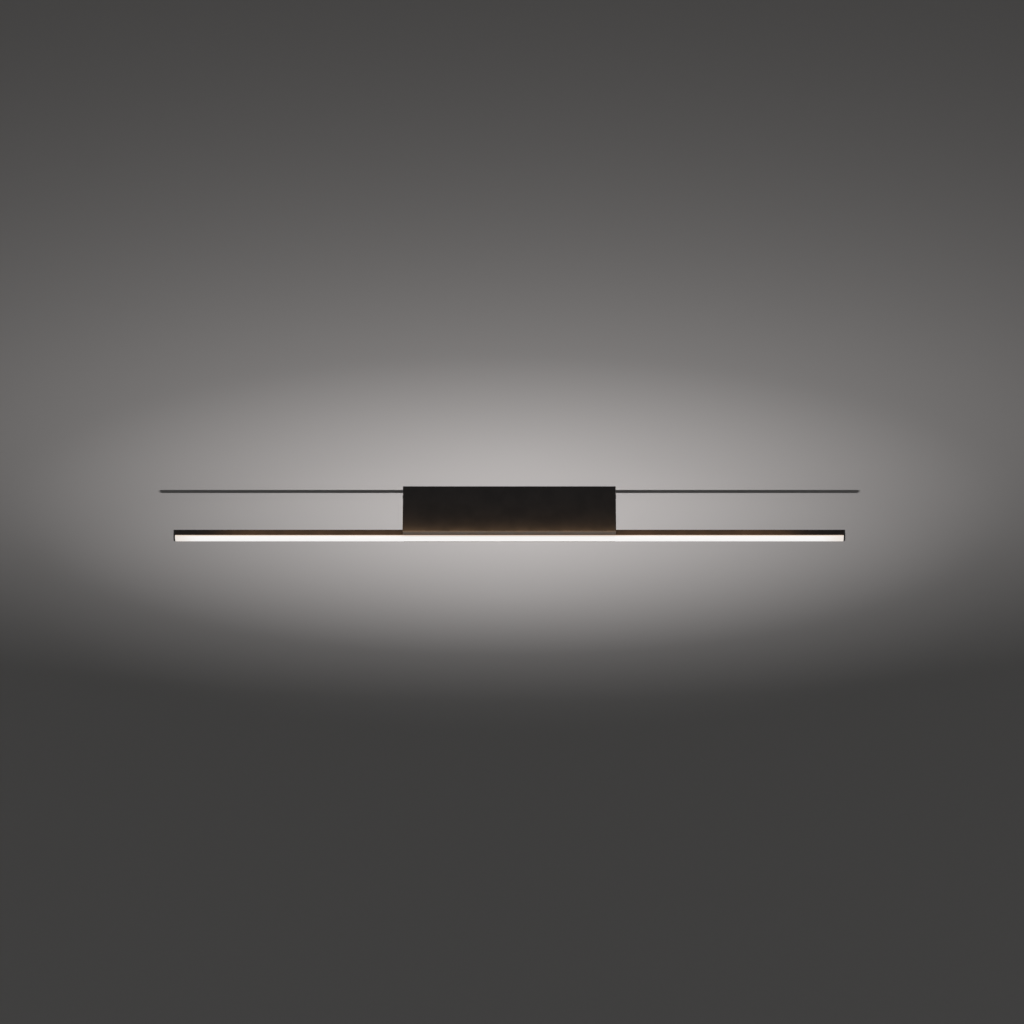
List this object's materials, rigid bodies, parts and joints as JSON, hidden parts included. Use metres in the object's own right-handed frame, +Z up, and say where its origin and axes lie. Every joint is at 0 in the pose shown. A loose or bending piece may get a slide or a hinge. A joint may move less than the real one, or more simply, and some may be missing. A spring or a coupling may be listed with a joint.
{
  "type": "linear led ceiling light",
  "caption": "Slim linear LED ceiling light: a plain box canopy with a long bar set into its underside, an aluminium channel with a half-round opal diffuser.",
  "frame": {"origin": "middle of the ceiling bracket's upper face, which lies on the ceiling", "axes": "+Z up into the ceiling, +X along the light bar, +Y across it; the light hangs below Z = 0"},
  "size_m": [1.2, 0.066, 0.0927],
  "materials": {
    "powder_black": "fine satin powder coat",
    "anodised_black": "black anodised extrusion",
    "opal": "opal diffusing plastic",
    "cap_black": "moulded, fine grain",
    "zinc_steel": "bright zinc plate",
    "galvanised": "galvanised sheet",
    "black_steel": "blackened steel screw",
    "rubber_black": "matt",
    "driver_white": "moulded, fine grain",
    "terminal_grey": "moulded",
    "lever_dark": "moulded",
    "copper": "bare copper",
    "winding_copper": "enamelled copper wire",
    "spring_steel": "spring steel",
    "tinned": "tin plate",
    "board_white": "white solder mask",
    "board_green": "green solder mask",
    "ferrite": "sintered ferrite",
    "sleeve_dark": "shrink sleeve",
    "film_yellow": "moulded box",
    "bare_aluminium": "mill finish",
    "epoxy_black": "moulded epoxy",
    "led_package": "white package with yellow phosphor",
    "tape_grey": "acrylic tape",
    "lead_brown": "PVC insulation",
    "lead_blue": "PVC insulation",
    "lead_green_yellow": "PVC insulation with a yellow stripe",
    "lead_red": "PVC insulation",
    "lead_black": "PVC insulation"
  },
  "bodies": {
    "ceiling_bracket": {"ceiling_bracket": "galvanised", "cable_grommet": "rubber_black", "locking_nuts": "zinc_steel", "bracket_earth_stud": "zinc_steel", "bracket_earth_washer": "zinc_steel", "bracket_earth_nut": "zinc_steel"},
    "housing": {"housing_shell": "powder_black", "tray_studs": "zinc_steel", "tray_nuts": "zinc_steel", "gear_tray": "galvanised", "bar_screws": "zinc_steel", "lead_grommet": "rubber_black", "earth_tag": "tinned", "earth_screw": "zinc_steel", "driver_base": "driver_white", "driver_lid": "driver_white", "driver_board": "board_green", "transformer_bobbin": "epoxy_black", "transformer_core": "ferrite", "transformer_winding": "winding_copper", "capacitors": "sleeve_dark", "film_capacitor": "film_yellow", "choke_core": "ferrite", "choke_winding": "winding_copper", "heat_sink": "bare_aluminium", "transistor": "epoxy_black", "driver_fuse": "sleeve_dark", "driver_input_terminal": "terminal_grey", "driver_output_terminal": "terminal_grey", "driver_screws": "zinc_steel", "terminal_base": "terminal_grey", "terminal_body": "terminal_grey", "terminal_contacts": "copper", "terminal_springs": "spring_steel", "terminal_screws": "zinc_steel", "lead_live": "lead_brown", "lead_neutral": "lead_blue", "lead_earth": "lead_green_yellow", "lead_positive": "lead_red", "lead_negative": "lead_black", "bar_channel": "anodised_black", "thermal_tape": "tape_grey", "led_board": "board_white", "led_chips": "led_package", "led_resistors": "epoxy_black", "solder_joints": "tinned", "diffuser": "opal", "end_cap_left": "cap_black", "end_cap_right": "cap_black"},
    "locking_screw_left": {"locking_screw_left": "black_steel"},
    "locking_screw_right": {"locking_screw_right": "black_steel"},
    "terminal_lever_live": {"terminal_lever_live": "lever_dark"},
    "terminal_lever_neutral": {"terminal_lever_neutral": "lever_dark"},
    "terminal_lever_earth": {"terminal_lever_earth": "lever_dark"}
  },
  "joints": [
    {"name": "housing_drop", "type": "slide", "parent": "ceiling_bracket", "child": "housing", "axis": [0, 0, -1], "range_m": [0, 0.1]},
    {"name": "locking_screw_left_turn", "type": "hinge", "parent": "ceiling_bracket", "child": "locking_screw_left", "pos_m": [-0.1903, 0, -0.01], "axis": [-1, 0, 0], "range_deg": [0, 675]},
    {"name": "locking_screw_right_turn", "type": "hinge", "parent": "ceiling_bracket", "child": "locking_screw_right", "pos_m": [0.1903, 0, -0.01], "axis": [1, 0, 0], "range_deg": [0, 675]},
    {"name": "terminal_lever_live_tilt", "type": "hinge", "parent": "housing", "child": "terminal_lever_live", "pos_m": [-0.126, 0.001, -0.062], "axis": [-1, 0, 0], "range_deg": [0, 85]},
    {"name": "terminal_lever_neutral_tilt", "type": "hinge", "parent": "housing", "child": "terminal_lever_neutral", "pos_m": [-0.118, 0.001, -0.062], "axis": [-1, 0, 0], "range_deg": [0, 85]},
    {"name": "terminal_lever_earth_tilt", "type": "hinge", "parent": "housing", "child": "terminal_lever_earth", "pos_m": [-0.11, 0.001, -0.062], "axis": [-1, 0, 0], "range_deg": [0, 85]}
  ]
}
